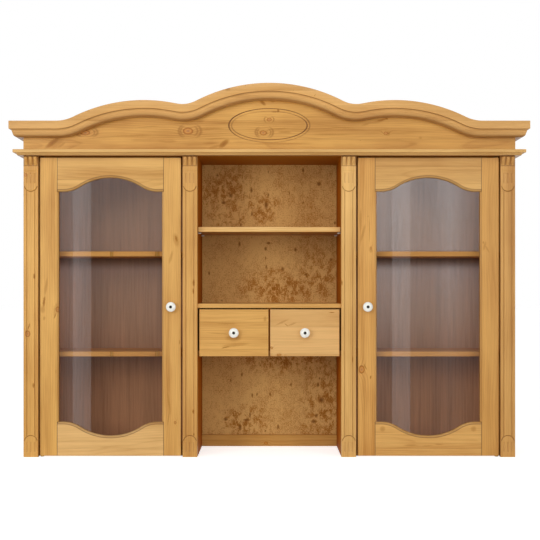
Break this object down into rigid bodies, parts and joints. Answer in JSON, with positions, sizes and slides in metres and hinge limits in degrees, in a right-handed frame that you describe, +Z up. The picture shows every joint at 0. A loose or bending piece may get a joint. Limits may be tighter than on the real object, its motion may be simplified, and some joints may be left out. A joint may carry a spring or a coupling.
{
  "type": "china cabinet",
  "caption": "Pine hutch top with glazed doors beside an open bay, fluted pilasters, small drawers and a curved crown, made to stand on a sideboard.",
  "frame": {"origin": "middle of the rectangle that the cabinet covers, crown included, at the height of its foot", "axes": "+X to the right and +Y to the back when you stand in front of the doors, +Z up"},
  "size_m": [1.82, 0.343, 1.312],
  "materials": {
    "pine": "satin varnish",
    "inner_pine": "satin varnish",
    "centre_plywood": "satin varnish",
    "bay_backing": "satin varnish",
    "door_glass": "clear",
    "porcelain": "glazed",
    "zinc_steel": "zinc plated",
    "dark_steel": "darkened",
    "brass": "turned",
    "catch_plastic": "moulded"
  },
  "bodies": {
    "cabinet": {"side_panel_left": "pine", "side_panel_right": "pine", "partition_left": "pine", "partition_right": "pine", "top_board": "pine", "bottom_boards": "pine", "back_panel_left": "bay_backing", "back_panel_centre": "centre_plywood", "back_panel_right": "bay_backing", "back_rail": "inner_pine", "pilaster_outer_left": "pine", "pilaster_inner_left": "pine", "pilaster_inner_right": "pine", "pilaster_outer_right": "pine", "waist_moulding_front": "pine", "waist_moulding_returns": "pine", "frieze_front": "pine", "frieze_sides": "pine", "crown_front": "pine", "crown_returns": "pine", "glue_blocks": "inner_pine", "glazed_bay_shelves": "pine", "centre_shelf": "pine", "fixed_shelf": "pine", "drawer_floor": "inner_pine", "drawer_divider": "inner_pine", "shelf_pins": "zinc_steel", "pivot_brackets": "zinc_steel", "pivot_screws": "zinc_steel", "magnet_catches": "catch_plastic"},
    "left_door": {"left_hinge_stile": "pine", "left_lock_stile": "pine", "left_top_rail": "pine", "left_bottom_rail": "pine", "left_glass": "door_glass", "left_glazing_beads": "inner_pine", "left_pivot_bushes": "brass", "left_strike_plate": "zinc_steel", "left_door_knob": "porcelain", "left_door_knob_screw": "dark_steel"},
    "right_door": {"right_hinge_stile": "pine", "right_lock_stile": "pine", "right_top_rail": "pine", "right_bottom_rail": "pine", "right_glass": "door_glass", "right_glazing_beads": "inner_pine", "right_pivot_bushes": "brass", "right_strike_plate": "zinc_steel", "right_door_knob": "porcelain", "right_door_knob_screw": "dark_steel"},
    "left_drawer": {"left_drawer_front": "pine", "left_drawer_box": "inner_pine", "left_drawer_bottom": "centre_plywood", "left_drawer_knob": "porcelain", "left_drawer_knob_screw": "dark_steel"},
    "right_drawer": {"right_drawer_front": "pine", "right_drawer_box": "inner_pine", "right_drawer_bottom": "centre_plywood", "right_drawer_knob": "porcelain", "right_drawer_knob_screw": "dark_steel"}
  },
  "joints": [
    {"name": "left_door_hinge", "type": "hinge", "parent": "cabinet", "child": "left_door", "pos_m": [-0.804, -0.1105, 0], "axis": [0, 0, -1], "range_deg": [0, 95]},
    {"name": "right_door_hinge", "type": "hinge", "parent": "cabinet", "child": "right_door", "pos_m": [0.804, -0.1105, 0], "axis": [0, 0, 1], "range_deg": [0, 95]},
    {"name": "left_drawer_slide", "type": "slide", "parent": "cabinet", "child": "left_drawer", "axis": [0, -1, 0], "range_m": [0, 0.18]},
    {"name": "right_drawer_slide", "type": "slide", "parent": "cabinet", "child": "right_drawer", "axis": [0, -1, 0], "range_m": [0, 0.18]}
  ]
}
